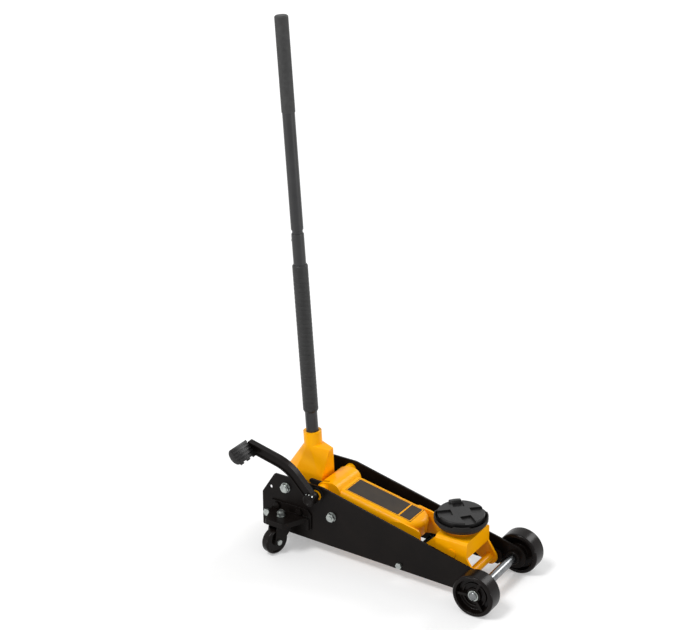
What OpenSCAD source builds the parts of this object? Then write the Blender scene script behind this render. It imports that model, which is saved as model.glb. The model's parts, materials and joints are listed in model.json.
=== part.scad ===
// Hydraulic trolley jack with a quick-lift foot pedal and a two-piece pump handle.
// +X points to the saddle end, +Y to the jack's left, +Z up. The origin is on the floor,
// midway between the side plates and straight below the front axle.

/* [Chassis] */
// Half the width over the outer faces of the two side plates
plate_out = 78.5; // [78:0.5:84]
// Thickness of each side plate
plate_t = 5; // [4:0.5:5]
// Distance from the front axle back to the rear edge of the side plates
chassis_len = 591; // [588:1:600]
// Height of the side plates' flat top edge
plate_top = 176; // [172:1:182]
// Height of the side plates' bottom edge at the rear
plate_bottom = 32; // [28:1:33]

/* [Front wheels] */
// Radius of the front wheels
wheel_r = 50; // [46:1:52]
// Width of each front wheel
wheel_w = 44; // [36:1:46]
// Half the track over the outer wheel faces
wheel_out = 130; // [128:1:136]
// Diameter of the front axle
axle_d = 22; // [18:1:24]

/* [Rear casters] */
// Radius of the caster wheels
caster_r = 32; // [30:0.5:32]
// Width of the caster wheels
caster_w = 22; // [18:1:22]
// Distance of the caster wheel's axle from the swivel axis
caster_trail = 21; // [20:1:26]
// Angle that each caster is turned outwards from straight ahead
caster_turn = 75; // [40:1:85]

/* [Lifting linkage] */
// Height of the lifting arm's pivot above the floor
arm_pivot_z = 153.5; // [151:0.5:155]
// Angle that the arm sweeps from fully lowered to fully raised
lift_angle = 78; // [60:1:78]
// Radius of the ram's crank on the lifting arm
crank_r = 40; // [36:1:41]
// Slope of the hydraulic cylinder, rising to the front
ram_slope = 15; // [12:1:16]

/* [Saddle] */
// Radius of the rubber saddle pad
pad_r = 53; // [48:0.5:54]
// Height of the saddle pad's flat top above the floor, fully lowered
pad_top = 173.5; // [172:0.5:176]

/* [Handle] */
// Angle that the upright handle leans back
handle_lean = 4.16; // [0:0.01:5]
// Outer diameter of the lower handle tube
handle_d = 29; // [27:0.5:30]
// Length of handle above the socket's mouth
handle_len = 978; // [900:1:1100]

/* [Foot pedal] */
// Length of the tread, measured across the jack
tread_len = 64; // [50:1:70]
// Angle that the pedal turns when it is pressed down
pedal_angle = 40; // [30:1:40]

/* [Hidden] */

black = [0.13, 0.12, 0.12];
yellow = [0.97, 0.66, 0.04];
zinc = [0.80, 0.81, 0.80];
steel = [0.70, 0.71, 0.72];
rubber = [0.22, 0.22, 0.23];
cast = [0.35, 0.35, 0.36];

// Running clearance on a radius, and the small gap between bodies that pass each other
run = 0.06;
gap = 0.3;

// Chassis stations, all as [x, z]
plate_in = plate_out - plate_t;
axle = [0, wheel_r];
plate_nose_r = 28.5;
rear_x = -chassis_len;
chamfer = [-chassis_len, 120];
top_rear = [-chassis_len + 35, plate_top];
kink = [-426, plate_top];
crossbar = [-577, 68];
tie_bar = [-214, 36];
spy_hole = [-567, 138];
socket_pivot = [-524, 148];
bracket_bolts = [[-546, 98], [-484, 98]];

// Lifting linkage: the arm and the link bars are the two long sides of a parallelogram
arm_pivot = [-438.5, arm_pivot_z];
link_pivot = arm_pivot + [42.5, -45.5];
head_pivot = [-92.4, 93.7];
tube_pivot = head_pivot + (link_pivot - arm_pivot);
cheek_out = 47;
cheek_t = 5;
cheek_in = cheek_out - cheek_t;
head_out = 54;
head_in = cheek_out + 0.8;
link_in = 56;
link_out = 62;
trunnion_r = 14;
ring_r = 18;
shaft_r = 7;

// Hydraulic ram: the crank pin's chord lies along the cylinder's slope
ram_dir = [cos(ram_slope), sin(ram_slope)];
ram_up = [-sin(ram_slope), cos(ram_slope)];
ram_offset = -crank_r * (1 + cos(lift_angle / 2)) / 2;
ram_stroke = 2 * crank_r * sin(lift_angle / 2);
crank_pin_r = 6;
crank_rest = arm_pivot + crank_r * dir(-90 + ram_slope - lift_angle / 2);
slot_half_w = crank_pin_r + 1;
slot_half_h = crank_pin_r + crank_r * (1 - cos(lift_angle / 2)) / 2 + 0.4;
crosshead_wall = 5;
crosshead_rest = -ram_stroke / 2;
gland_front = crosshead_rest - slot_half_w - crosshead_wall - 3;
gland_len = 8;
piston_len = 8;
cylinder_end = 5;
cylinder_rear = gland_front - gland_len - ram_stroke - piston_len - 1 - cylinder_end;
cylinder_r = 26;
bore_r = 16;
rod_r = 10;

// Casters
stud = [-518, 109];
shelf_top = 89;
shelf_t = 5;
stud_r = 6;

// Saddle
saddle_x = -100;
head_top = 130;
cup_base = head_top + 6;
cup_floor = 149;
pocket_angles = [43, 132, 223, 322];
lug_h = 4.5;

// Handle: its own frame has z = 0 at the socket's mouth
mouth = [-500, 271];
sleeve_z = [49, 412];
lower_top = 486;
neck_top = 496;
grip_base = 764;

// Foot pump lever
lever_r = 40;
lever_rest = 170;
lever_y = [-40, -35];
lever_drop = lever_r * (sin(lever_rest) - sin(lever_rest + pedal_angle));
foot_pump = [arm_pivot[0] + lever_r * cos(lever_rest), -37.5];
tip_r = 6;
foot_top = arm_pivot[1] + lever_r * sin(lever_rest) - tip_r - 2.7;
foot_barrel_top = 112;

// Handle pump roller
roller_r = 11;
roller = socket_pivot + [-29, 7];
plunger_top = roller[1] - roller_r - 1.3;
barrel_top = 98;
valve = [-535, 36.5];
valve_r = 3.9;
plunger_r = 5.5;
foot_plunger_r = 5;

// ---- Shared shapes ----

function dir(a) = [cos(a), sin(a)];
function unit(v) = v / norm(v);

// The arc that replaces corner p, of radius r, between its neighbours a and b
function arc_corner(p, a, b, r, n = 6) =
    let (u = unit(a - p), w = unit(b - p), half = acos(u * w) / 2,
         c = p + unit(u + w) * r / sin(half), s = p + u * r / tan(half) - c,
         e = p + w * r / tan(half) - c, start = atan2(s[1], s[0]),
         sweep = (atan2(e[1], e[0]) - start + 540) % 360 - 180)
    [for (i = [0:n]) c + r * dir(start + sweep * i / n)];

// An outline whose corners are [x, y, radius]
function rounded(pts) =
    [for (i = [0:len(pts) - 1])
        let (n = len(pts), p = [pts[i][0], pts[i][1]],
             a = [pts[(i + n - 1) % n][0], pts[(i + n - 1) % n][1]],
             b = [pts[(i + 1) % n][0], pts[(i + 1) % n][1]])
        each pts[i][2] > 0 ? arc_corner(p, a, b, pts[i][2]) : [p]];

// A profile drawn in [x, z] and extruded from y0 to y1
module along_y(y0, y1) {
    translate([0, y1, 0]) rotate([90, 0, 0]) linear_extrude(y1 - y0) children();
}

// A round bar across the jack at [x, z], from y0 to y1
module rod(p, r, y0, y1) {
    translate([p[0], y1, p[1]]) rotate([90, 0, 0]) cylinder(h = y1 - y0, r = r, $fn = 64);
}

// A flat lever across the jack: two round ends joined by flanks a hair inside their tangents
module strap(a, ra, b, rb, y0, y1) {
    hair = 0.03;
    turn = atan2(b[1] - a[1], b[0] - a[0]);
    t = acos((ra - rb) / norm(b - a));
    rod(a, ra, y0, y1);
    rod(b, rb, y0, y1);
    along_y(y0, y1) polygon([a + (ra - hair) * dir(turn + t), b + (rb - hair) * dir(turn + t),
                             b + (rb - hair) * dir(turn - t), a + (ra - hair) * dir(turn - t)]);
}

// A hexagonal bar across the jack, by its width across flats
module hex_rod(p, flats, y0, y1) {
    translate([p[0], y1, p[1]]) rotate([90, 0, 0]) hex_nut(y1 - y0, flats);
}

// A hexagon nut or bolt head with the corners of both faces turned down
module hex_nut(h, flats) {
    r = flats / 2 / cos(30);
    cut = 0.28 * (r - flats / 2) + 0.5;
    intersection() {
        cylinder(h = h, r = r, $fn = 6);
        rotate_extrude($fn = 48)
            polygon([[0, 0], [flats / 2, 0], [r + 0.2, cut], [r + 0.2, h - cut], [flats / 2, h], [0, h]]);
    }
}

// The children on the jack's left, and their mirror image on its right
module both_sides() {
    children();
    mirror([0, 1, 0]) children();
}

// Turned part across the jack: a profile of [radius, y] spun about the line at p
module turned(p) {
    translate([p[0], 0, p[1]]) rotate([-90, 0, 0]) rotate_extrude($fn = 96) children();
}

// The frame along the ram, with z = 0 level with the middle of the crank's travel
module ram_frame() {
    at = arm_pivot + ram_offset * ram_up;
    translate([at[0], 0, at[1]]) rotate([0, 90 - ram_slope, 0]) children();
}

// The handle's own frame, with z = 0 at the socket's mouth
module handle_frame() {
    translate([mouth[0], 0, mouth[1]]) rotate([0, -handle_lean, 0]) children();
}

// A helical compression spring of round wire, standing on z = z0
module spring(at, z0, z1, coil_r, wire_r, turns) {
    steps = 14;
    sides = 6;
    rings = turns * steps;
    rise = z1 - z0 - 2 * wire_r;
    pts = [for (i = [0:rings]) for (k = [0:sides - 1])
        let (a = 360 * i / steps, b = 360 * k / sides, r = coil_r + wire_r * cos(b))
        [at[0] + r * cos(a), at[1] + r * sin(a), z0 + wire_r + rise * i / rings + wire_r * sin(b)]];
    sleeve = [for (i = [0:rings - 1]) for (k = [0:sides - 1])
        let (a = i * sides + k, b = i * sides + (k + 1) % sides)
        [a, a + sides, b + sides, b]];
    start = [for (k = [0:sides - 1]) k];
    end = [for (k = [sides - 1:-1:0]) rings * sides + k];
    polyhedron(points = pts, faces = concat([start, end], sleeve), convexity = 10);
}

// ---- Chassis ----

module side_plate() {
    slope = atan2(kink[1] - axle[1] - plate_nose_r, axle[0] - kink[0]);
    top_touch = axle + (plate_nose_r - 0.03) * dir(90 - slope);
    difference() {
        union() {
            along_y(plate_in, plate_out)
                polygon(rounded([[rear_x, plate_bottom, 4], [chamfer[0], chamfer[1], 5],
                                 [top_rear[0], top_rear[1], 6], [kink[0], kink[1], 40],
                                 [top_touch[0], top_touch[1], 0], [axle[0], axle[1], 0],
                                 [axle[0], axle[1] - plate_nose_r + 0.03, 0]]));
            rod(axle, plate_nose_r, plate_in, plate_out);
        }
        rod(axle, axle_d / 2 + 0.05, plate_in - 1, plate_out + 1);
        rod(arm_pivot, ring_r + 0.05, plate_in - 1, plate_out + 1);
        for (p = [link_pivot, socket_pivot]) rod(p, 8.05, plate_in - 1, plate_out + 1);
        for (p = concat([crossbar, tie_bar], bracket_bolts)) rod(p, 5.05, plate_in - 1, plate_out + 1);
        along_y(plate_in - 1, plate_out + 1) translate(spy_hole) rotate(12) square(8.5, center = true);
    }
}

module side_plate_left() {
    color(black) side_plate();
}

module side_plate_right() {
    color(black) mirror([0, 1, 0]) side_plate();
}

// Folded tray that the hydraulic unit stands on, welded between the plates
module base_tray() {
    x0 = -570;
    x1 = -452;
    z0 = plate_bottom + 1.5;
    rib_h = 16;
    color(black) difference() {
        translate([x0, -plate_in, z0]) cube([x1 - x0, 2 * plate_in, 4.5 + rib_h]);
        translate([x0 - 1, -plate_in + 4, z0 + 4.5]) cube([x1 - x0 + 2, 2 * plate_in - 8, rib_h + 1]);
        for (y = [-1, 1]) translate([-474, y * 52, z0 - 1]) cylinder(h = 8, r = 9, $fn = 48);
    }
}

module rear_crossbar() {
    color(black) difference() {
        rod(crossbar, 10, -plate_in, plate_in);
        rod(crossbar, 5.05, -plate_in - 1, plate_in + 1);
    }
}

// Hexagon-head bolts in the ends of the rear crossbar, and the front tie bar with its nuts
module frame_bolts() {
    color(zinc) {
        both_sides() {
            hex_rod(crossbar, 17, plate_out, plate_out + 7);
            rod(crossbar, 5, plate_out - 22, plate_out + 1);
        }
        rod(tie_bar, 6.5, -plate_in + 0.05, plate_in - 0.05);
        rod(tie_bar, 5, -plate_out - 1, plate_out + 1);
        both_sides() hex_rod(tie_bar, 14, plate_out, plate_out + 6);
    }
}

// Bolts that hold the caster brackets to the plates
module bracket_screws() {
    color(black) both_sides() for (p = bracket_bolts) {
        hex_rod(p, 15, plate_out + 4, plate_out + 10);
        rod(p, 5, plate_in - 1, plate_out + 5);
        hex_rod(p, 15, plate_in - 8, plate_in - 0.05);
    }
}

// ---- Front axle and wheels ----

module front_axle() {
    end = wheel_out - 2.5;
    r = axle_d / 2;
    color(steel) turned(axle) polygon([
        [0, -end], [r - 3, -end], [r - 1.5, -end + 1.5], [r - 1.5, -end + 4], [r - 2, -end + 4],
        [r - 2, -end + 5.6], [r, -end + 5.6], [r, end - 5.6], [r - 2, end - 5.6], [r - 2, end - 4],
        [r - 1.5, end - 4], [r - 1.5, end - 1.5], [r - 3, end], [0, end]]);
}

module axle_collars() {
    r = axle_d / 2;
    color(black) both_sides() turned(axle)
        polygon([[r + 0.05, plate_in - 9], [r + 4, plate_in - 9], [r + 5, plate_in - 8],
                 [r + 5, plate_in - 0.05], [r + 0.05, plate_in - 0.05]]);
}

module wheel_spacers() {
    r = axle_d / 2;
    y1 = wheel_out - wheel_w - gap;
    color(zinc) both_sides() turned(axle)
        polygon([[r + 0.05, plate_out + 0.05], [r + 6, plate_out + 0.05], [r + 6, y1], [r + 0.05, y1]]);
}

// Open retaining rings that sit in the axle's grooves
module axle_clips() {
    r = axle_d / 2;
    y = wheel_out - 2.5 - 5.5;
    color(zinc) both_sides() difference() {
        turned(axle) polygon([[r - 1.9, y + 0.1], [r + 1.6, y + 0.1], [r + 1.6, y + 1.5], [r - 1.9, y + 1.5]]);
        translate([axle[0] - 2, y - 1, axle[1] - r - 5]) cube([4, 4, r + 2]);
    }
}

// Moulded wheel: tread, dished faces, hub and three ribs in the outer dish
module front_wheel() {
    y1 = wheel_out;
    y0 = wheel_out - wheel_w;
    tread_round = 5;
    rim_r = wheel_r - 9;
    hub_r = 16.5;
    web0 = y0 + 12;
    web1 = y1 - 15;
    bore = axle_d / 2 + run;
    color(black) {
        turned(axle) polygon(rounded([
            [bore, y0, 0], [hub_r + 3, y0, 1], [hub_r + 5, web0, 1], [rim_r - 3, web0, 2], [rim_r, y0 + 1, 1],
            [wheel_r, y0 + 1, tread_round], [wheel_r, y1 - 1, tread_round], [rim_r, y1 - 1, 1],
            [rim_r - 3, web1, 2], [30, web1, 0], [29.5, web1 + 3.5, 0.8], [26, web1 + 3.5, 0.8], [25.5, web1, 0],
            [hub_r + 1.5, web1, 1], [hub_r, y1 - 9, 1], [bore, y1 - 9, 0]]));
        for (i = [0:2]) translate([axle[0], 0, axle[1]]) rotate([0, 120 * i + 55, 0])
            translate([hub_r - 1.5, web1 - 1, -3]) cube([rim_r - hub_r, y1 - 5 - web1, 6]);
    }
}

module front_wheel_left() {
    front_wheel();
}

module front_wheel_right() {
    mirror([0, 1, 0]) front_wheel();
}

// ---- Rear casters ----

// Pressed bracket: a flange on the plate, a five-sided shelf and a turned-down lip
module caster_bracket() {
    outer = 143;
    z0 = shelf_top - shelf_t;
    lip = 8;
    color(black) {
        along_y(plate_out, plate_out + 4) difference() {
            polygon(rounded([[-566, 66, 6], [-566, 108, 6], [-462, 108, 10], [-452, 96, 6], [-452, 54, 6],
                             [-500, 54, 6]]));
            for (p = bracket_bolts) translate(p) circle(r = 5.05, $fn = 48);
        }
        difference() {
            translate([0, 0, z0 - lip]) linear_extrude(shelf_t + lip) shelf_outline(outer, 0);
            translate([0, 0, z0 - lip - 1]) linear_extrude(lip + 1) shelf_outline(outer, 4);
            translate([stud[0], stud[1], z0 - 1]) cylinder(h = shelf_t + 2, r = stud_r + 0.05, $fn = 48);
        }
        along_y(plate_out + 4, plate_out + 8) polygon([[-478, z0], [-456, z0], [-456, 56], [-462, 56]]);
    }
}

// The shelf in plan: inset is the lip's thickness on the three free edges
module shelf_outline(outer, inset) {
    inner = plate_out + 3.9;
    polygon(rounded([[-562 + inset, inner - inset, 0], [-540 + inset * 0.8, outer - inset, 6],
                     [-490 - inset * 0.6, outer - inset, 6], [-460 - inset, inner - inset, 0]]));
}

module caster_bracket_left() {
    caster_bracket();
}

module caster_bracket_right() {
    mirror([0, 1, 0]) caster_bracket();
}

module caster_races() {
    z1 = shelf_top - shelf_t - 0.05;
    color(zinc) both_sides() translate([stud[0], stud[1], 0]) rotate_extrude($fn = 64)
        polygon([[stud_r + 0.05, z1 - 4], [19, z1 - 4], [21, z1 - 2.5], [21, z1], [stud_r + 0.05, z1]]);
}

module caster_studs() {
    color(zinc) both_sides() translate([stud[0], stud[1], 0]) {
        translate([0, 0, 69]) cylinder(h = 5, r = 9, $fn = 48);
        translate([0, 0, 74]) cylinder(h = 29, r = stud_r, $fn = 48);
    }
}

module caster_nuts() {
    color(zinc) both_sides() translate([stud[0], stud[1], 0]) difference() {
        union() {
            translate([0, 0, shelf_top + 0.05]) cylinder(h = 1.5, r = 10.5, $fn = 48);
            translate([0, 0, shelf_top + 1.55]) rotate(15) hex_nut(9.5, 16.5);
        }
        translate([0, 0, shelf_top - 1]) cylinder(h = 20, r = stud_r + 0.05, $fn = 48);
    }
}

// Places a caster piece drawn with its trail along -X, on the jack's left
module caster_frame(turn) {
    translate([stud[0], stud[1], 0]) rotate(-turn) children();
}

module caster_fork() {
    crown_top = shelf_top - shelf_t - 4 - 0.35;
    crown_t = 4;
    leg_in = caster_w / 2 + 1.5;
    leg_t = 3;
    hub = [-caster_trail, caster_r];
    color(black) caster_frame(caster_turn) difference() {
        union() {
            translate([0, 0, crown_top - crown_t]) linear_extrude(crown_t) {
                circle(r = 21, $fn = 64);
                translate([-21, -leg_in - leg_t]) square([39, 2 * (leg_in + leg_t)]);
            }
            both_sides() along_y(leg_in, leg_in + leg_t) {
                translate(hub) circle(r = 11, $fn = 48);
                polygon([[-21, crown_top], [18, crown_top], [19, crown_top - 6], [17, 52],
                         [hub[0] + 11 * cos(-50), hub[1] + 11 * sin(-50)],
                         [hub[0] - 11, hub[1]], [-25, crown_top - 8]]);
            }
        }
        translate([0, 0, crown_top - 20]) cylinder(h = 30, r = stud_r + run, $fn = 48);
        rod(hub, 4.05, -30, 30);
    }
}

module caster_fork_left() {
    caster_fork();
}

module caster_fork_right() {
    mirror([0, 1, 0]) caster_fork();
}

module caster_wheel() {
    w = caster_w / 2;
    color(rubber) caster_frame(caster_turn) turned([-caster_trail, caster_r])
        polygon(rounded([[4 + run, -w - 0.8, 0], [9, -w - 0.8, 1], [10, -w + 2, 0], [caster_r - 8, -w + 2, 1],
                         [caster_r - 6, -w, 1], [caster_r, -w, 5], [caster_r, w, 5], [caster_r - 6, w, 1],
                         [caster_r - 8, w - 2, 1], [10, w - 2, 0], [9, w + 0.8, 1], [4 + run, w + 0.8, 0]]));
}

module caster_wheel_left() {
    caster_wheel();
}

module caster_wheel_right() {
    mirror([0, 1, 0]) caster_wheel();
}

module caster_axle() {
    out = caster_w / 2 + 4.5;
    hub = [-caster_trail, caster_r];
    color(zinc) caster_frame(caster_turn) {
        rod(hub, 4, -out, out);
        both_sides() rod(hub, 6.5, out + 0.05, out + 4);
        rod(hub, 3.9, -out - 4, out + 4);
    }
}

module caster_axle_left() {
    caster_axle();
}

module caster_axle_right() {
    mirror([0, 1, 0]) caster_axle();
}

// ---- Pivots fixed in the plates ----

module pivot_rings() {
    color(black) both_sides() turned(arm_pivot)
        polygon([[trunnion_r + run, plate_in], [ring_r, plate_in], [ring_r, plate_out + 2.2],
                 [ring_r - 1, plate_out + 3], [trunnion_r + run, plate_out + 3]]);
}

// Shoulder bolts that carry the link bars, one in each plate
module link_bolts() {
    color(zinc) both_sides() {
        turned(link_pivot) polygon([
            [0, 49], [11, 49], [11, link_in - gap], [8, link_in - gap], [8, link_out + gap],
            [12, link_out + gap], [12, plate_in - 0.05], [8, plate_in - 0.05], [8, plate_out + 0.05], [0, plate_out + 0.05]]);
        rod(link_pivot, 11.5, plate_out + 0.05, plate_out + 2);
        hex_rod(link_pivot, 19, plate_out + 2, plate_out + 10);
        rod(link_pivot, 6, plate_out + 9, plate_out + 13);
    }
}

module socket_pivot_bolt() {
    color(zinc) {
        rod(socket_pivot, 8, -plate_out - 11, plate_out + 11);
        both_sides() rod(socket_pivot, 12.5, plate_out + 0.05, plate_out + 2);
        both_sides() hex_rod(socket_pivot, 20.5, plate_out + 2, plate_out + 9);
    }
}

module socket_spacers() {
    color(zinc) both_sides() turned(socket_pivot)
        polygon([[8.05, 32.4 + gap], [12, 32.4 + gap], [12, plate_in - 0.05], [8.05, plate_in - 0.05]]);
}

// ---- Hydraulic unit ----

// Casting that carries the cylinder, both pumps and the release valve
module pump_block() {
    x0 = -566;
    z0 = plate_bottom + 6.05;
    color(cast) difference() {
        union() {
            along_y(-33, 33) polygon(rounded([[x0, z0, 3], [x0, 88, 8], [-548, 94, 6], [-522, 94, 10],
                                              [-508, 84, 6], [-508, z0, 3]]));
            translate([roller[0], 0, 80]) cylinder(h = barrel_top - 80, r = 10, $fn = 64);
            ram_frame() translate([0, 0, cylinder_rear + 14]) cylinder(h = 18, r = cylinder_r + 3.5, $fn = 96);
            along_y(foot_pump[1] - 9, -28.5)
                polygon(rounded([[-530, z0, 3], [-530, 86, 4], [foot_pump[0] + 9, 92, 5],
                                 [foot_pump[0] + 9, z0, 3]]));
            translate([foot_pump[0], foot_pump[1], 80]) cylinder(h = foot_barrel_top - 80, r = 8, $fn = 64);
            along_y(28.5, valve[1] + 9)
                polygon(rounded([[-552, z0, 3], [-552, 88, 4], [-520, 88, 4], [-520, z0, 3]]));
            translate([valve[0], valve[1], 80]) cylinder(h = 16, r = 8, $fn = 48);
        }
        ram_frame() translate([0, 0, cylinder_rear]) cylinder(h = 140, r = cylinder_r + 0.05, $fn = 96);
        translate([roller[0], 0, 58]) cylinder(h = 60, r = plunger_r + run, $fn = 48);
        translate([foot_pump[0], foot_pump[1], 66]) cylinder(h = 70, r = foot_plunger_r + run, $fn = 48);
        translate([valve[0], valve[1], 76]) cylinder(h = 30, r = valve_r + run, $fn = 48);
    }
}

module ram_cylinder() {
    len = gland_front - gland_len - cylinder_rear;
    color(black) ram_frame() translate([0, 0, cylinder_rear]) difference() {
        cylinder(h = len, r = cylinder_r, $fn = 96);
        translate([0, 0, cylinder_end]) cylinder(h = len, r = bore_r + run, $fn = 96);
    }
}

module ram_gland() {
    color(zinc) ram_frame() translate([0, 0, gland_front - gland_len]) difference() {
        union() {
            translate([0, 0, 0.05]) cylinder(h = 3.5, r = cylinder_r - 1, $fn = 96);
            translate([0, 0, 3.5]) cylinder(h = gland_len - 3.5, r = 19, $fn = 6);
        }
        translate([0, 0, -1]) cylinder(h = gland_len + 2, r = rod_r + run, $fn = 64);
    }
}

module ram_rod() {
    piston = cylinder_rear + cylinder_end + 0.5;
    end = crosshead_rest - slot_half_w - crosshead_wall;
    color(steel) ram_frame() translate([0, 0, piston]) {
        cylinder(h = piston_len, r = bore_r, $fn = 96);
        cylinder(h = end - piston - 0.05, r = rod_r, $fn = 64);
    }
}

// Block on the rod's end, with an upright slot that the crank pin runs in
module ram_crosshead() {
    half_len = slot_half_w + crosshead_wall;
    half_h = slot_half_h + crosshead_wall;
    straight = slot_half_h - slot_half_w;
    color(cast) ram_frame() translate([0, 0, crosshead_rest]) rotate([90, 0, 0])
        translate([0, 0, -17]) linear_extrude(34) difference() {
            polygon(rounded([[-half_h, -half_len, 6], [half_h, -half_len, 6], [half_h, half_len, 6],
                             [-half_h, half_len, 6]]));
            square([2 * straight, 2 * slot_half_w], center = true);
            for (s = [-1, 1]) translate([s * straight, 0]) circle(r = slot_half_w, $fn = 64);
        }
}

// Slotted spindle beside the handle pump
module release_valve() {
    color(steel) translate([valve[0], valve[1], 0]) {
        translate([0, 0, 79]) cylinder(h = 18, r = valve_r, $fn = 48);
        difference() {
            translate([0, 0, 96.3]) cylinder(h = 9, r = 6.5, $fn = 48);
            translate([-1.5, -8, 101]) cube([3, 16, 10]);
        }
    }
}

// ---- Lifting arm ----

hump = [-416.5, 151.5];
hump_r = 23;
roll_r = 17;
top_back = [-397, 161.5];
top_front = [-180, 121.6];
top_slope = atan2(top_back[1] - top_front[1], top_front[0] - top_back[0]);
top_skin = 4;
nose_at = 166;
skirt = 38;
shoulder = 14;

// Height of the arm's top surface at x
function top_z(x) = top_back[1] - (x - top_back[0]) * tan(top_slope);

// The arm's roll and hump in side view, thinned by d, with a straight back between them
module roll_profile(d) {
    turn = atan2(hump[1] - arm_pivot[1], hump[0] - arm_pivot[0]);
    t = acos((roll_r - hump_r) / norm(hump - arm_pivot));
    translate(arm_pivot) circle(r = roll_r - d, $fn = 64);
    translate(hump) circle(r = hump_r - d, $fn = 64);
    polygon([arm_pivot, arm_pivot + (roll_r - d - 0.03) * dir(turn + t),
             hump + (hump_r - d - 0.03) * dir(turn + t), hump]);
}

// One cheek in side view: under the pressed top, beside its nose, then low and up to the head
module cheek_outline() {
    roll_profile(0);
    translate(head_pivot) circle(r = 20, $fn = 64);
    polygon(concat(
        [arm_pivot + roll_r * dir(200), [-432, 84], [-416, 42], [-404, 37], [-270, 56], [-172, 70],
         head_pivot + 20 * dir(-78), head_pivot, head_pivot + 20 * dir(72), [-141, 118], [-166, 91]],
        arc_corner([-179, 91], [-166, 91], [-179, 110], 5),
        arc_corner([-179, top_z(-179) - 3.5], [-179, 91], [-232, top_z(-232) - 3.5], 14),
        [[-232, top_z(-232) - 3.5], [-262, top_z(-262) - shoulder - 0.5],
         [-395, top_z(-395) - shoulder - 0.5], hump + hump_r * dir(-15), hump, arm_pivot]));
}

// The frame on the arm's top: +X runs along it to the nose, z = 0 on its surface
module arm_frame() {
    translate([top_back[0], 0, top_back[1]]) rotate([0, top_slope, 0]) children();
}

// The pressed top as a solid shrunk by d: round shoulders and a half-round nose
module pressed_top(d, deep) {
    half = cheek_out - d;
    edge = shoulder - d;
    arm_frame() translate([0, 0, -d]) {
        translate([-14 - d, 0, 0]) rotate([90, 0, 90]) linear_extrude(nose_at + 14 + d)
            polygon(rounded([[0.03 - half, -deep, 0], [0.03 - half, 0, edge],
                             [half - 0.03, 0, edge], [half - 0.03, -deep, 0]]));
        translate([nose_at, 0, 0]) rotate_extrude($fn = 96)
            polygon(rounded([[0, -deep, 0], [half, -deep, 0], [half, 0, edge], [0, 0, 0]]));
    }
}

module lifting_arm() {
    color(yellow) difference() {
        union() {
            both_sides() {
                along_y(cheek_in, cheek_out) cheek_outline();
                rod(arm_pivot, trunnion_r, cheek_out - 1, plate_out + 1.5);
                rod(head_pivot, 14, cheek_in - 5, cheek_in + 1);
                strap(arm_pivot, 16, crank_rest, 12.5, 19.5, 27.5);
                along_y(19.5, 27.5)
                    polygon([arm_pivot, arm_pivot + [-3, 12], [-415, 168], [-398, 158], [-404, 120],
                             crank_rest + [6, -8]]);
            }
            difference() {
                pressed_top(0, skirt);
                pressed_top(top_skin, skirt);
            }
            along_y(-cheek_out, cheek_out) difference() {
                roll_profile(0);
                roll_profile(top_skin);
                translate([-470, 100]) square([54, arm_pivot[1] + 2 - 100]);
                polygon([[-440, 100], [-440, 153], [-412, 158], [-390, 157], [-380, 100]]);
            }
            along_y(-cheek_in - 1, cheek_in + 1)
                polygon([[-400, 37.5], [-270, 56], [-268, 60], [-400, 42]]);
        }
        rod(arm_pivot, shaft_r + run, -plate_out - 5, plate_out + 5);
        rod(head_pivot, 8 + run, -cheek_out - 1, cheek_out + 1);
        both_sides() rod(crank_rest, crank_pin_r + 0.05, 19, 28);
        translate([arm_pivot[0] - 25, -cheek_in, 100]) cube([36.5, cheek_in + lever_y[1] + 0.6, 100]);
    }
}

module crank_pin() {
    color(steel) rod(crank_rest, crank_pin_r, -30, 30);
}

// ---- Saddle head and links ----

module head_outline() {
    polygon(rounded([[-135, head_top, 0], [-55, head_top, 0], [-55, 89, 0],
                     [tube_pivot[0] + 17, tube_pivot[1] + 8, 0],
                     [tube_pivot[0] - 8, tube_pivot[1] - 16.7, 0], [-112, 66, 10],
                     [-129, 84, 8], [-135, 103, 8]]));
    translate(tube_pivot) circle(r = 18.5, $fn = 64);
    translate(head_pivot) circle(r = 20, $fn = 64);
}

// The head's section across the jack: a deep channel with rounded shoulders
module head_section(half, top, r) {
    polygon(rounded([[-half, 20, 0], [-half, top, r], [half, top, r], [half, 20, 0]]));
}

module saddle_head() {
    color(yellow) difference() {
        union() {
            intersection() {
                along_y(-head_out, head_out) head_outline();
                translate([-150, 0, 0]) rotate([90, 0, 90]) linear_extrude(130) head_section(head_out, head_top, 9);
            }
            translate([saddle_x, 0, head_top - 2]) cylinder(h = 8, r = 34, $fn = 96);
        }
        translate([-140, 0, 0]) rotate([90, 0, 90]) linear_extrude(79)
            head_section(head_in, head_top - 8, 5);
        translate([-62, -head_in, 20]) cube([80, 2 * head_in, 69]);
        rod(head_pivot, 8.02, -60, 60);
        rod(tube_pivot, 10.05, -60, 60);
        translate([saddle_x, 0, 100]) cylinder(h = 60, r = 15 + run, $fn = 64);
    }
}

module head_pin() {
    color(yellow) {
        rod(head_pivot, 8, -head_out, head_out);
        both_sides() rod(head_pivot, 10, head_out + 0.05, head_out + 1.6);
        rod(head_pivot, 7, -head_out - 1, head_out + 1);
    }
}

module cross_tube() {
    color(yellow) {
        rod(tube_pivot, 10, -head_out, head_out);
        rod(tube_pivot, 9, -link_out - 2, link_out + 2);
    }
}

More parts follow.
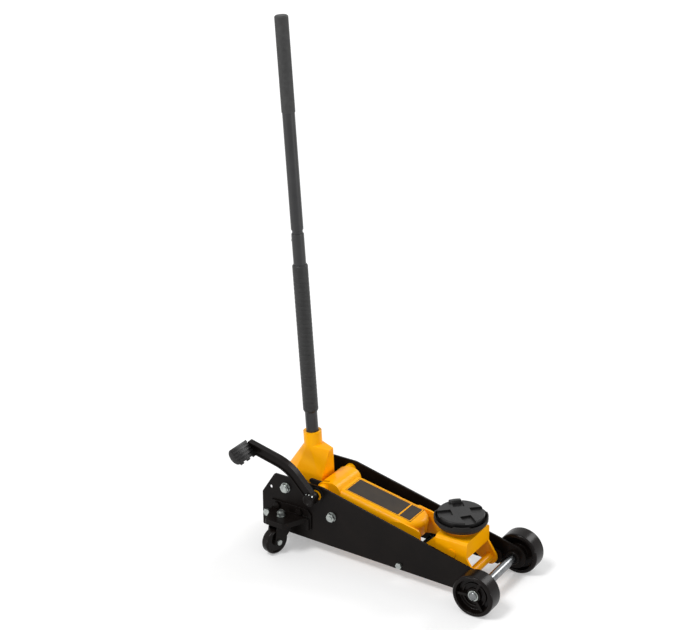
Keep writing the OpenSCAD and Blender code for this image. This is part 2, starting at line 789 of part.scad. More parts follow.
// Flat bar with a step on its lower edge; the top end is cut square with one corner off
module link_bar() {
    run_dir = unit(tube_pivot - link_pivot);
    up = [-run_dir[1], run_dir[0]];
    len = norm(tube_pivot - link_pivot);
    function at(s, n, r) = let (p = link_pivot + s * run_dir + n * up) [p[0], p[1], r];
    color(black) along_y(link_in, link_out) difference() {
        polygon(rounded([at(-17, 19, 14), at(len + 24, 19, 12), at(len + 28, 2, 4), at(len + 22, -15, 4),
                         at(len - 22, -15, 6), at(len - 34, -20, 8), at(len - 56, -20, 8),
                         at(len - 72, -13, 8), at(-17, -13, 14)]));
        translate(link_pivot) circle(r = 8 + run, $fn = 64);
        translate(tube_pivot) circle(r = 9 + run, $fn = 64);
    }
}

module link_bar_left() {
    link_bar();
}

module link_bar_right() {
    mirror([0, 1, 0]) link_bar();
}

// Shallow cup with four upturned tabs round its rim and a stem in the head
module saddle_cup() {
    rim_r = pad_r + 9;
    tab_z = 165;
    z = cup_base + gap;
    color(rubber) translate([saddle_x, 0, 0]) difference() {
        rotate_extrude($fn = 120) polygon(rounded([
            [0, 112, 0], [15, 112, 1], [15, z, 0], [38, z, 3], [rim_r - 9, z + 6, 4], [rim_r, 154, 5],
            [rim_r, tab_z, 1.5], [rim_r - 3.5, tab_z, 1], [rim_r - 4.5, cup_floor, 2], [0, cup_floor, 0]]));
        for (i = [0:3]) rotate(74 + 90 * i) translate([rim_r - 12, 0, 0]) rotate([90, 0, 90])
            linear_extrude(24) polygon([[-30, tab_z + 1], [-24, tab_z - 4], [24, tab_z - 4], [30, tab_z + 1]]);
    }
}

// Rubber pad: a thick disc with four pockets in its rim and one locating lug
module saddle_pad() {
    lug_in = pad_r - 11;
    color(rubber) translate([saddle_x, 0, 0]) {
        difference() {
            rotate_extrude($fn = 120) polygon(rounded([
                [0, cup_floor + 0.05, 0], [pad_r - 1, cup_floor + 0.05, 0.5], [pad_r + 1, pad_top - 3, 1],
                [pad_r - 0.5, pad_top, 1], [0, pad_top, 0]]));
            for (a = pocket_angles) rotate(a) translate([22, -13, pad_top - 4.5]) cube([40, 26, 10]);
        }
        rotate(137) intersection() {
            rotate_extrude($fn = 120) polygon([[lug_in, pad_top - 5], [pad_r, pad_top - 5],
                                               [pad_r - 1, pad_top + lug_h], [lug_in + 2, pad_top + lug_h]]);
            translate([30, -14, pad_top - 6]) cube([30, 28, 20]);
        }
    }
}

// ---- Handle socket and pump ----

// Tapered casting: a broad yoke over the pivot that narrows to a round collar
module handle_socket() {
    rear = -561;
    front = -458;
    half = 32;
    color(yellow) difference() {
        union() {
            hull() {
                translate([0, 0, 153]) linear_extrude(1)
                    polygon([[rear + 14, -15], [rear + 26, -half], [front, -30], [front, 30],
                             [rear + 26, half], [rear + 14, 15]]);
                translate([rear, -11, 168]) cube([2, 22, 3]);
                translate([front + 2, -9, 232]) cube([8, 18, 3]);
                handle_frame() translate([0, 0, -33]) cylinder(h = 2, r = 21.4, $fn = 32);
            }
            handle_frame() translate([0, 0, -34]) cylinder(h = 34, r = 21.7, $fn = 96);
            rod(socket_pivot, 21, -half - 0.4, half + 0.4);
            along_y(-30, 30)
                polygon([[-545, 154], [-541, 140], [-520, 127], [-498, 142], [-470, 150], [-470, 156]]);
            both_sides() strap(socket_pivot, 15, roller, 9.5, 13, 24);
        }
        handle_frame() translate([0, 0, -92]) cylinder(h = 120, r = handle_d / 2 + run, $fn = 96);
        handle_frame() translate([0, 0, -1.5]) cylinder(h = 3, r1 = handle_d / 2, r2 = handle_d / 2 + 3, $fn = 64);
        rod(socket_pivot, 8 + run, -half - 1, half + 1);
        translate([rear - 10, -13, 120]) cube([rear * -1 + 10 - 537, 26, roller[1] + roller_r + 3 - 120]);
        rod(roller, 4.05, -25, 25);
    }
}

module pump_roller() {
    color(steel) difference() {
        rod(roller, roller_r, -12, 12);
        rod(roller, 4 + run, -13, 13);
    }
}

module roller_pin() {
    color(zinc) rod(roller, 4, -24, 24);
}

module pump_plunger() {
    color(steel) translate([roller[0], 0, 0]) {
        translate([0, 0, plunger_top - 52]) cylinder(h = 50, r = plunger_r, $fn = 48);
        translate([0, 0, plunger_top - 3]) cylinder(h = 3, r = 8, $fn = 64);
    }
}

module pump_spring() {
    color(steel) spring([roller[0], 0], barrel_top, plunger_top - 3, 7, 0.8, 5);
}

// ---- Handle ----

module lower_tube() {
    r = handle_d / 2;
    color(rubber) handle_frame() difference() {
        rotate_extrude($fn = 96) polygon([
            [0, -86], [r - 2, -86], [r, -84], [r, lower_top - 2], [r - 1, lower_top], [r - 2.2, lower_top],
            [r - 2.2, -80], [0, -80]]);
        button_hole();
    }
}

// Upper tube with a reduced neck that drops into the lower tube
module upper_tube() {
    r = 14.2;
    neck = handle_d / 2 - 2.3;
    color(rubber) handle_frame() difference() {
        rotate_extrude($fn = 96) polygon([
            [neck - 2.2, lower_top - 69], [neck, lower_top - 69], [neck, neck_top - 4], [r, neck_top],
            [r, handle_len - 3], [r - 2.5, handle_len - 3], [r - 2.5, neck_top], [neck - 2.2, neck_top - 6]]);
        button_hole();
    }
}

module button_hole() {
    translate([0, 0, lower_top - 18]) rotate([0, -90, 0]) cylinder(h = 20, r = 4 + run, $fn = 48);
}

// Ribbed rubber sleeve with chamfered ends
module handle_sleeve() {
    r0 = handle_d / 2 + 0.05;
    r1 = 18;
    pitch = 11;
    ribs = floor((sleeve_z[1] - sleeve_z[0] - 24) / pitch);
    groove = [for (i = [0:ribs - 1]) let (z = sleeve_z[0] + 12 + pitch * i)
        each [[r1, z], [r1 - 0.5, z + 0.8], [r1 - 0.5, z + 2.4], [r1, z + 3.2]]];
    color(rubber) handle_frame() rotate_extrude($fn = 96) polygon(concat(
        [[r0, sleeve_z[0]], [r1 - 3, sleeve_z[0]], [r1, sleeve_z[0] + 6]], groove,
        [[r1, sleeve_z[1] - 3], [r1 - 2, sleeve_z[1]], [r0, sleeve_z[1]]]));
}

module handle_grip() {
    r0 = 14.25;
    r1 = 15.4;
    color(rubber) handle_frame() rotate_extrude($fn = 96) polygon([
        [r0, grip_base], [r1 - 0.5, grip_base], [r1, grip_base + 1.5], [r1, handle_len - 3], [r1 - 3, handle_len],
        [0, handle_len], [0, handle_len - 2.9], [r0, handle_len - 2.9]]);
}

// Spring button that locks the two tubes together
module lock_button() {
    color(steel) handle_frame() translate([0, 0, lower_top - 18]) rotate([0, -90, 0]) {
        translate([0, 0, 5]) cylinder(h = 11, r = 4, $fn = 48);
        translate([0, 0, 16]) cylinder(h = 1.2, r1 = 4, r2 = 2.6, $fn = 48);
    }
}

// ---- Foot pedal and foot pump ----

// The pedal arm's centre line: straight from the hub, one bend, straight to the tread
pedal_y = [-107, -91];
pedal_head = 134;
pedal_run = 58;
pedal_bend_r = 110;
pedal_tail = 167;
pedal_bend = arm_pivot + pedal_run * dir(pedal_head) + pedal_bend_r * dir(pedal_head + 90);
pedal_end = pedal_bend + pedal_bend_r * dir(pedal_tail - 90) + 82 * dir(pedal_tail);

// A band that follows the centre line between two offsets, positive towards the top flange
function pedal_side(n) = concat(
    [arm_pivot + 2 * dir(pedal_head) + n * dir(pedal_head - 90)],
    [for (i = [0:12]) pedal_bend + (pedal_bend_r + n) * dir(pedal_head - 90 + (pedal_tail - pedal_head) * i / 12)],
    [pedal_end + n * dir(pedal_tail - 90)]);
function reversed(v) = [for (i = [len(v) - 1:-1:0]) v[i]];
module pedal_band(n0, n1) {
    polygon(concat(pedal_side(n1), reversed(pedal_side(n0))));
}

module pedal_shaft() {
    color(steel) {
        rod(arm_pivot, shaft_r, pedal_y[0] - 1.5, plate_out + 12);
        rod(arm_pivot, 11, plate_out + 5, plate_out + 9);
    }
}

// I-section lever: a tall web between a wide top flange and a narrow bottom flange
module pedal_arm() {
    mid = (pedal_y[0] + pedal_y[1]) / 2;
    color(black) difference() {
        union() {
            along_y(mid - 3.5, mid + 3.5) {
                pedal_band(-10, 12);
                translate(arm_pivot) circle(r = 16, $fn = 64);
            }
            along_y(pedal_y[0], pedal_y[1]) pedal_band(9, 13);
            along_y(mid - 6, mid + 6) pedal_band(-13, -9);
            rod(arm_pivot, 15, pedal_y[0], pedal_y[1] - 2);
            rod(arm_pivot, 10, pedal_y[1] - 3, -plate_out - 4);
        }
        rod(arm_pivot, shaft_r + 0.02, pedal_y[0] - 1, -plate_out);
    }
}

// D-shaped tread: flat, grooved face up and forwards, teeth along its lower edge
module pedal_tread() {
    y1 = pedal_y[0] - 0.05;
    y0 = pedal_y[0] - 1 - tread_len;
    color(rubber) translate([-601, 0, 247]) rotate([0, 43, 0]) difference() {
        union() {
            intersection() {
                translate([0, y1, -6.5]) rotate([90, 0, 0]) cylinder(h = y1 - y0, r = 21.5, $fn = 96);
                translate([-20.5, y0, -20]) cube([41, y1 - y0, 20]);
            }
            for (i = [0:2]) translate([17, y0 + 4 + i * 24, -4]) cube([6.5, 11, 5]);
        }
        for (x = [-11, -1, 9]) translate([x - 2, y0 - 1, -1.8]) cube([4, y1 - y0 + 2, 3]);
    }
}

module pedal_screws() {
    color(zinc) {
        for (a = [50, 95, 140])
            hex_rod(arm_pivot + 10.6 * dir(a), 5, pedal_y[0] - 2.9, pedal_y[0] - 0.05);
    }
}

// Lever on the pedal's shaft that presses the foot pump
module pump_lever() {
    tip = arm_pivot + lever_r * dir(lever_rest);
    color(cast) difference() {
        strap(arm_pivot, 11.5, tip, tip_r, lever_y[0], lever_y[1]);
        rod(arm_pivot, shaft_r + 0.02, lever_y[0] - 1, lever_y[1] + 1);
    }
}

module foot_plunger() {
    color(steel) translate([foot_pump[0], foot_pump[1], 0]) {
        translate([0, 0, foot_top - 52]) cylinder(h = 50, r = foot_plunger_r, $fn = 48);
        translate([0, 0, foot_top - 3]) cylinder(h = 3, r = 6, $fn = 64);
    }
}

module foot_spring() {
    color(steel) spring(foot_pump, foot_barrel_top, foot_top - 3, 6.3, 0.9, 6);
}

side_plate_right();
side_plate_left();
base_tray();
rear_crossbar();
frame_bolts();
bracket_screws();
front_axle();
axle_collars();
wheel_spacers();
axle_clips();
front_wheel_right();
front_wheel_left();
caster_bracket_right();
caster_bracket_left();
caster_races();
caster_studs();
caster_nuts();
caster_fork_right();
caster_fork_left();
caster_wheel_right();
caster_wheel_left();
caster_axle_right();
caster_axle_left();
pivot_rings();
link_bolts();
socket_pivot_bolt();
socket_spacers();
pump_block();
ram_cylinder();
ram_gland();
ram_rod();
ram_crosshead();
release_valve();
lifting_arm();
crank_pin();
saddle_head();
head_pin();
cross_tube();
link_bar_right();
link_bar_left();
saddle_cup();
saddle_pad();
handle_socket();
pump_roller();
roller_pin();
pump_plunger();
pump_spring();
lower_tube();
upper_tube();
handle_sleeve();
handle_grip();
lock_button();
pedal_shaft();
pedal_arm();
pedal_tread();
pedal_screws();
pump_lever();
foot_plunger();
foot_spring();
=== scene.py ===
"""Dressed Blender scene of a hydraulic trolley jack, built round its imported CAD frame.

Every object is in metres in the CAD's own frame: +X towards the saddle, +Y to the
jack's left, +Z up, with the origin on the floor below the front axle.
"""

from __future__ import annotations

import json
import logging
import math
from dataclasses import dataclass
from enum import Enum
from typing import Iterable, Sequence

import bmesh
import bpy
from mathutils import Matrix, Vector

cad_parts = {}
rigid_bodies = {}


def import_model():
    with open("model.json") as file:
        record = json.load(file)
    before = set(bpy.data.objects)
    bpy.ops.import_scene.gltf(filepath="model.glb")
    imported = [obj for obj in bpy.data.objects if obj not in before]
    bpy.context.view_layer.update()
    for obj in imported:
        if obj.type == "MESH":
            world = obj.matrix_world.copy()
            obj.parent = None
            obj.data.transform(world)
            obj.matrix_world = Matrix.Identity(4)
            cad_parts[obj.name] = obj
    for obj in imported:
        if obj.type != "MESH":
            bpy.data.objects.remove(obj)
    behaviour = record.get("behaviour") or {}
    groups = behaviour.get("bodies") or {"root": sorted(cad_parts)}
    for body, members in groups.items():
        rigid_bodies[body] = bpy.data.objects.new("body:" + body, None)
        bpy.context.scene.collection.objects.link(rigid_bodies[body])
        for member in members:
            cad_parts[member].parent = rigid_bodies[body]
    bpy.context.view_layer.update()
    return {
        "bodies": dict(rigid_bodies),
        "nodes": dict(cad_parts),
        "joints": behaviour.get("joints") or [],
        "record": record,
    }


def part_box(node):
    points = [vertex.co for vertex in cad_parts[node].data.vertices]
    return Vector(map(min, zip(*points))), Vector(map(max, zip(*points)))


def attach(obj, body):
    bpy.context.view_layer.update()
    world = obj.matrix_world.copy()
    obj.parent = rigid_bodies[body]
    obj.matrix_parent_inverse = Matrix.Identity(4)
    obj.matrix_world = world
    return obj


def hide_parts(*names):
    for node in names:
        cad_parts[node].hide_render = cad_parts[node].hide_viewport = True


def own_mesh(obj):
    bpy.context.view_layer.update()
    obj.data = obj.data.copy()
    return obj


LOG = logging.getLogger("trolley_jack")
MM = 0.001


class Side(Enum):
    """The jack's two sides, each with the way it faces along Y."""

    RIGHT = -1.0
    LEFT = 1.0

    @property
    def word(self) -> str:
        """The side's word in the names of pieces."""
        return self.name.lower()

    def outermost(self, node: str) -> float:
        """Returns the outermost Y of a CAD node on this side, in metres."""
        low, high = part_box(node)
        return high.y if self is Side.LEFT else low.y


class Slot(Enum):
    """The record's material slots."""

    BLACK = "black_paint"
    YELLOW = "yellow_paint"
    HANDLE = "handle_paint"
    ZINC = "zinc"
    STEEL = "bright_steel"
    CASTING = "casting"
    WHEEL = "wheel_plastic"
    RUBBER = "rubber"


@dataclass(frozen=True)
class Finish:
    """How one kind of surface looks.

    Attributes:
        name: The Blender material's name.
        light: Linear base colour where the surface is cleanest.
        dark: Linear base colour in the darker half of the mottling.
        metallic: 0 for paint, plastic and rubber, 1 for bare or plated metal.
        rough: Lowest and highest roughness.
        grain: Size of the surface texture, in features per metre.
        bump: Height of the surface texture, in metres.
        coat: Weight of the clear coat.
        coat_rough: Roughness of the clear coat.
        mottle: Size of the colour variation, in features per metre.
        specular: Specular level of the base.
        stretch: Scale of the texture along each axis, for brushed or drawn surfaces.
    """

    name: str
    light: tuple[float, float, float]
    dark: tuple[float, float, float]
    metallic: float = 0.0
    rough: tuple[float, float] = (0.4, 0.5)
    grain: float = 900.0
    bump: float = 0.00004
    coat: float = 0.0
    coat_rough: float = 0.1
    mottle: float = 30.0
    specular: float = 0.5
    stretch: tuple[float, float, float] = (1.0, 1.0, 1.0)


def srgb(r: float, g: float, b: float) -> tuple[float, float, float]:
    """Converts an 8-bit sRGB colour to linear values.

    Args:
        r: Red, 0 to 255.
        g: Green, 0 to 255.
        b: Blue, 0 to 255.

    Returns:
        The three linear components.
    """

    def one(c: float) -> float:
        """Converts one component."""
        c /= 255.0
        return c / 12.92 if c <= 0.04045 else ((c + 0.055) / 1.055) ** 2.4

    return one(r), one(g), one(b)


YELLOW = Finish("yellow enamel", srgb(255, 178, 0), srgb(252, 166, 0), rough=(0.26, 0.36), grain=420,
                bump=0.00003, coat=0.03, coat_rough=0.12, mottle=14, specular=0.12)
BLACK = Finish("black powder coat", srgb(21, 17, 15), srgb(15, 12, 11), rough=(0.28, 0.38), grain=1400,
               bump=0.00003, mottle=20, specular=0.09)
TUBE = Finish("grey-black enamel", srgb(42, 42, 43), srgb(33, 33, 34), rough=(0.34, 0.42), grain=1200,
              bump=0.00001, mottle=20, specular=0.4)
GRIP = Finish("foam grip", srgb(60, 60, 60), srgb(48, 48, 48), rough=(0.5, 0.62), grain=1500,
              bump=0.0001, mottle=90, specular=0.3)
SLEEVE = Finish("ribbed sleeve", srgb(44, 44, 44), srgb(35, 35, 35), rough=(0.4, 0.5), grain=1300,
                bump=0.00004, mottle=70, specular=0.3)
ZINC = Finish("bright zinc", srgb(184, 189, 184), srgb(146, 150, 150), metallic=0.92, rough=(0.24, 0.4),
              grain=500, bump=0.00004, mottle=160)
STEEL = Finish("ground steel", srgb(132, 134, 135), srgb(100, 102, 105), metallic=1.0, rough=(0.16, 0.28),
               grain=260, bump=0.00001, mottle=60, stretch=(6.0, 1.0, 6.0))
CASTING = Finish("black iron casting", srgb(34, 32, 31), srgb(24, 22, 22), rough=(0.55, 0.7), grain=500,
                 bump=0.0002, mottle=60, specular=0.2)
WHEEL = Finish("black wheel plastic", srgb(20, 15, 13), srgb(12, 9, 8), rough=(0.2, 0.3), grain=700,
               bump=0.00003, mottle=40, specular=0.13)
RUBBER = Finish("black rubber", srgb(27, 26, 26), srgb(18, 17, 17), rough=(0.3, 0.44), grain=1300,
                bump=0.00008, mottle=50, specular=0.3)
LABEL = Finish("bare label", srgb(52, 42, 30), srgb(40, 32, 24), rough=(0.32, 0.4), grain=900,
               bump=0.00001, mottle=30, specular=0.25)

SLOT_FINISH: dict[Slot, Finish] = {
    Slot.BLACK: BLACK,
    Slot.YELLOW: YELLOW,
    Slot.HANDLE: TUBE,
    Slot.ZINC: ZINC,
    Slot.STEEL: STEEL,
    Slot.CASTING: CASTING,
    Slot.WHEEL: WHEEL,
    Slot.RUBBER: RUBBER,
}


class ShaderLibrary:
    """Makes each finish's material once, from two shared node groups.

    Attributes:
        MOTTLE_DETAIL: Octaves of the mottling's noise.
        MOTTLE_ROUGHNESS: How much of the mottling is fine.
        MOTTLE_BAND: The noise values between which dark turns to light.
        GRAIN_DETAIL: Octaves of the surface texture's noise.
    """

    MOTTLE_DETAIL = 5.0
    MOTTLE_ROUGHNESS = 0.62
    MOTTLE_BAND = (0.34, 0.66)
    GRAIN_DETAIL = 3.0

    def __init__(self) -> None:
        """Makes the shared groups."""
        self._made: dict[str, bpy.types.Material] = {}
        self._mottle = self._mottle_group()
        self._grain = self._grain_group()

    @staticmethod
    def _new_group(name: str, inputs: Sequence[tuple[str, str, object]],
                   outputs: Sequence[tuple[str, str]]) -> bpy.types.NodeTree:
        """Makes an empty shader group with the given sockets.

        Args:
            name: The group's name.
            inputs: Name, socket type and default value of each input.
            outputs: Name and socket type of each output.

        Returns:
            The group's node tree.
        """
        tree = bpy.data.node_groups.new(name, "ShaderNodeTree")
        for label, kind, default in inputs:
            socket = tree.interface.new_socket(label, in_out="INPUT", socket_type=kind)
            if default is not None:
                socket.default_value = default
        for label, kind in outputs:
            tree.interface.new_socket(label, in_out="OUTPUT", socket_type=kind)
        return tree

    def _mottle_group(self) -> bpy.types.NodeTree:
        """Makes the group for slow colour and roughness variation over a surface.

        Returns:
            The group's node tree.
        """
        tree = self._new_group(
            "Mottling",
            [("Light", "NodeSocketColor", None), ("Dark", "NodeSocketColor", None),
             ("Scale", "NodeSocketFloat", 30.0), ("Rough Low", "NodeSocketFloat", 0.4),
             ("Rough High", "NodeSocketFloat", 0.5)],
            [("Color", "NodeSocketColor"), ("Roughness", "NodeSocketFloat")])
        add, link = tree.nodes.new, tree.links.new
        inp, out = add("NodeGroupInput"), add("NodeGroupOutput")
        place = add("ShaderNodeTexCoord")
        noise = add("ShaderNodeTexNoise")
        noise.inputs["Detail"].default_value = self.MOTTLE_DETAIL
        noise.inputs["Roughness"].default_value = self.MOTTLE_ROUGHNESS
        ramp = add("ShaderNodeMapRange")
        ramp.inputs["From Min"].default_value = self.MOTTLE_BAND[0]
        ramp.inputs["From Max"].default_value = self.MOTTLE_BAND[1]
        mix = add("ShaderNodeMix")
        mix.data_type = "RGBA"
        rough = add("ShaderNodeMapRange")
        link(place.outputs["Object"], noise.inputs["Vector"])
        link(inp.outputs["Scale"], noise.inputs["Scale"])
        link(noise.outputs["Fac"], ramp.inputs["Value"])
        link(ramp.outputs["Result"], mix.inputs["Factor"])
        link(inp.outputs["Dark"], mix.inputs["A"])
        link(inp.outputs["Light"], mix.inputs["B"])
        link(mix.outputs["Result"], out.inputs["Color"])
        link(noise.outputs["Fac"], rough.inputs["Value"])
        link(inp.outputs["Rough Low"], rough.inputs["To Min"])
        link(inp.outputs["Rough High"], rough.inputs["To Max"])
        link(rough.outputs["Result"], out.inputs["Roughness"])
        return tree

    def _grain_group(self) -> bpy.types.NodeTree:
        """Makes the group for fine surface texture, which puts out a normal.

        Returns:
            The group's node tree.
        """
        tree = self._new_group(
            "Surface Grain",
            [("Scale", "NodeSocketFloat", 900.0), ("Height", "NodeSocketFloat", 0.00004),
             ("Stretch", "NodeSocketVector", (1.0, 1.0, 1.0))],
            [("Normal", "NodeSocketVector")])
        add, link = tree.nodes.new, tree.links.new
        inp, out = add("NodeGroupInput"), add("NodeGroupOutput")
        place = add("ShaderNodeTexCoord")
        stretch = add("ShaderNodeVectorMath")
        stretch.operation = "MULTIPLY"
        noise = add("ShaderNodeTexNoise")
        noise.inputs["Detail"].default_value = self.GRAIN_DETAIL
        bump = add("ShaderNodeBump")
        bump.inputs["Strength"].default_value = 1.0
        link(place.outputs["Object"], stretch.inputs[0])
        link(inp.outputs["Stretch"], stretch.inputs[1])
        link(stretch.outputs["Vector"], noise.inputs["Vector"])
        link(inp.outputs["Scale"], noise.inputs["Scale"])
        link(noise.outputs["Fac"], bump.inputs["Height"])
        link(inp.outputs["Height"], bump.inputs["Distance"])
        link(bump.outputs["Normal"], out.inputs["Normal"])
        return tree

    def material(self, finish: Finish) -> bpy.types.Material:
        """Returns the material of a finish.

        Args:
            finish: The finish to look up or make.

        Returns:
            The Blender material.
        """
        if finish.name not in self._made:
            self._made[finish.name] = self._build(finish)
        return self._made[finish.name]

    def _build(self, finish: Finish) -> bpy.types.Material:
        """Builds one material's node tree.

        Args:
            finish: The finish to build.

        Returns:
            The new material.
        """
        mat = bpy.data.materials.new(finish.name)
        mat.use_nodes = True
        tree = mat.node_tree
        shader = tree.nodes["Principled BSDF"]
        mottle = tree.nodes.new("ShaderNodeGroup")
        mottle.node_tree = self._mottle
        mottle.inputs["Light"].default_value = (*finish.light, 1.0)
        mottle.inputs["Dark"].default_value = (*finish.dark, 1.0)
        mottle.inputs["Scale"].default_value = finish.mottle
        mottle.inputs["Rough Low"].default_value = finish.rough[0]
        mottle.inputs["Rough High"].default_value = finish.rough[1]
        grain = tree.nodes.new("ShaderNodeGroup")
        grain.node_tree = self._grain
        grain.inputs["Scale"].default_value = finish.grain
        grain.inputs["Height"].default_value = finish.bump
        grain.inputs["Stretch"].default_value = finish.stretch
        shader.inputs["Metallic"].default_value = finish.metallic
        shader.inputs["Specular IOR Level"].default_value = finish.specular
        shader.inputs["Coat Weight"].default_value = finish.coat
        shader.inputs["Coat Roughness"].default_value = finish.coat_rough
        tree.links.new(mottle.outputs["Color"], shader.inputs["Base Color"])
        tree.links.new(mottle.outputs["Roughness"], shader.inputs["Roughness"])
        tree.links.new(grain.outputs["Normal"], shader.inputs["Normal"])
        return mat


class Workshop:
    """Finds things in the frame, turns meshes into pieces, and dresses them.

    Attributes:
        MERGE_DIST: Corners of a CAD mesh closer than this, in metres, are one.
        FLAT_ANGLE: Faces that differ by less than this, in degrees, are one.
        FACE_WEIGHT: How far large faces win over small ones in the shading of rounded edges.
        nodes: The CAD nodes' objects by name.
        shaders: The library of finishes.
        slot_of: The material slot of each node.
        body_of: The body that each node rides on.
        travel: Length of each sliding joint's travel, in metres.
    """

    MERGE_DIST = 0.02 * MM
    FLAT_ANGLE = 0.5
    FACE_WEIGHT = 60

    def __init__(self, frame: dict, shaders: ShaderLibrary) -> None:
        """Reads what the pieces need to know from the frame.

        Args:
            shaders: The library of finishes.
        """
        self.nodes: dict[str, bpy.types.Object] = frame["nodes"]
        self.shaders = shaders
        record = frame["record"]
        self.slot_of = {s["node"]: Slot(s["material_slot"]) for s in record["subparts"]}
        self.body_of = {n: body for body, nodes in record["behaviour"]["bodies"].items() for n in nodes}
        self.travel = {j["name"]: j["range_m"][1] for j in frame["joints"] if "range_m" in j}

    def coat(self, obj: bpy.types.Object, finish: Finish) -> None:
        """Sets an object's only material.

        Args:
            obj: The mesh object.
            finish: Its finish.
        """
        obj.data.materials.clear()
        obj.data.materials.append(self.shaders.material(finish))

    def finish_nodes(self) -> None:
        """Gives every CAD node its slot's finish."""
        for name, obj in self.nodes.items():
            self.coat(obj, SLOT_FINISH[self.slot_of[name]])

    def middle(self, node: str) -> Vector:
        """Returns the middle of a CAD node's box, in metres."""
        low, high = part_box(node)
        return (low + high) / 2

    def piece(self, name: str, bm: bmesh.types.BMesh, body: str, slot: Slot,
              finish: Finish | None = None, angle: float = 35.0) -> bpy.types.Object:
        """Makes a piece of a finished mesh.

        Args:
            name: The piece's name.
            bm: Its mesh, in metres in the jack's frame; it is freed.
            body: The CAD body that it rides on.
            slot: The record's material slot.
            finish: Its finish, or None for the slot's own.
            angle: Edges sharper than this, in degrees, stay crisp.

        Returns:
            The new object.
        """
        mesh = bpy.data.meshes.new(name)
        crease(bm, angle)
        bm.to_mesh(mesh)
        bm.free()
        obj = bpy.data.objects.new(name, mesh)
        bpy.context.collection.objects.link(obj)
        self.coat(obj, finish or SLOT_FINISH[slot])
        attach(obj, body)
        LOG.info("made %s, %d faces, on %s", name, len(mesh.polygons), body)
        return obj

    def round_off(self, node: str, width: float, segments: int = 2, angle: float = 30.0,
                  finish: Finish | None = None) -> bpy.types.Object:
        """Stands a copy with rounded edges in for a CAD node.

        Args:
            node: The CAD node.
            width: Width of the rounding in metres.
            segments: Steps across the rounding.
            angle: Smallest angle between faces, in degrees, that is rounded.
            finish: Its finish, or None for the slot's own.

        Returns:
            The new object.
        """
        bm = bmesh.new()
        bm.from_mesh(self.nodes[node].data)
        bmesh.ops.remove_doubles(bm, verts=bm.verts, dist=self.MERGE_DIST)
        bmesh.ops.dissolve_limit(bm, angle_limit=math.radians(self.FLAT_ANGLE), verts=bm.verts,
                                 edges=bm.edges, use_dissolve_boundaries=False)
        slot = self.slot_of[node]
        obj = self.piece(f"{node}_dressed", bm, self.body_of[node], slot, finish)
        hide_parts(node)
        if width > 0.0:
            bevel = obj.modifiers.new("rounded edges", "BEVEL")
            bevel.width = width
            bevel.segments = segments
            bevel.limit_method = "ANGLE"
            bevel.angle_limit = math.radians(angle)
            bevel.use_clamp_overlap = True
            normals = obj.modifiers.new("even normals", "WEIGHTED_NORMAL")
            normals.mode = "FACE_AREA"
            normals.weight = self.FACE_WEIGHT
            normals.keep_sharp = True
        return obj


def crease(bm: bmesh.types.BMesh, angle: float) -> None:
    """Shades a mesh smooth, with its sharper edges kept crisp.

    Args:
        bm: The mesh.
        angle: Smallest angle between faces, in degrees, that stays crisp.
    """
    limit = math.radians(angle)
    for face in bm.faces:
        face.smooth = True
    for edge in bm.edges:
        edge.smooth = len(edge.link_faces) == 2 and edge.calc_face_angle(0.0) < limit


def placed(at: Vector, along: Vector) -> Matrix:
    """Makes the transform that stands a part on a point.

    Args:
        at: Where the part's origin goes, in metres.
        along: Where its +Z points.

    Returns:
        The transform.
    """
    return Matrix.Translation(at) @ along.to_track_quat("Z", "Y").to_matrix().to_4x4()


def made_verts(result: dict) -> list[bmesh.types.BMVert]:
    """Returns the vertices among what a bmesh operator made."""
    return [part for part in result["geom"] if isinstance(part, bmesh.types.BMVert)]


def spin_round(bm: bmesh.types.BMesh, steps: int) -> None:
    """Spins all that a mesh holds a full turn round Z, and closes it.

    Args:
        bm: The mesh.
        steps: Steps in the full turn.
    """
    bmesh.ops.spin(bm, geom=bm.verts[:] + bm.edges[:], cent=(0, 0, 0), axis=(0, 0, 1), dvec=(0, 0, 0),
                   angle=math.tau, steps=steps, use_merge=True, use_duplicate=False,
                   use_normal_flip=False)
    bmesh.ops.remove_doubles(bm, verts=bm.verts, dist=1e-7)
    bmesh.ops.recalc_face_normals(bm, faces=bm.faces)


def lathe(profile: Sequence[tuple[float, float]], steps: int = 64) -> bmesh.types.BMesh:
    """Turns a part round Z.

    Args:
        profile: Radius and height of each point, in millimetres.
        steps: Steps in the full turn.

    Returns:
        A closed mesh.
    """
    bm = bmesh.new()
    verts = [bm.verts.new((r * MM, 0.0, z * MM)) for r, z in profile]
    for a, b in zip(verts, verts[1:]):
        bm.edges.new((a, b))
    spin_round(bm, steps)
    return bm


def absorb(target: bmesh.types.BMesh, part: bmesh.types.BMesh) -> None:
    """Moves a mesh into another.

    Args:
        target: The mesh that takes the part in.
        part: The part; it is freed.
    """
    mesh = bpy.data.meshes.new("part")
    part.to_mesh(mesh)
    part.free()
    target.from_mesh(mesh)
    bpy.data.meshes.remove(mesh)


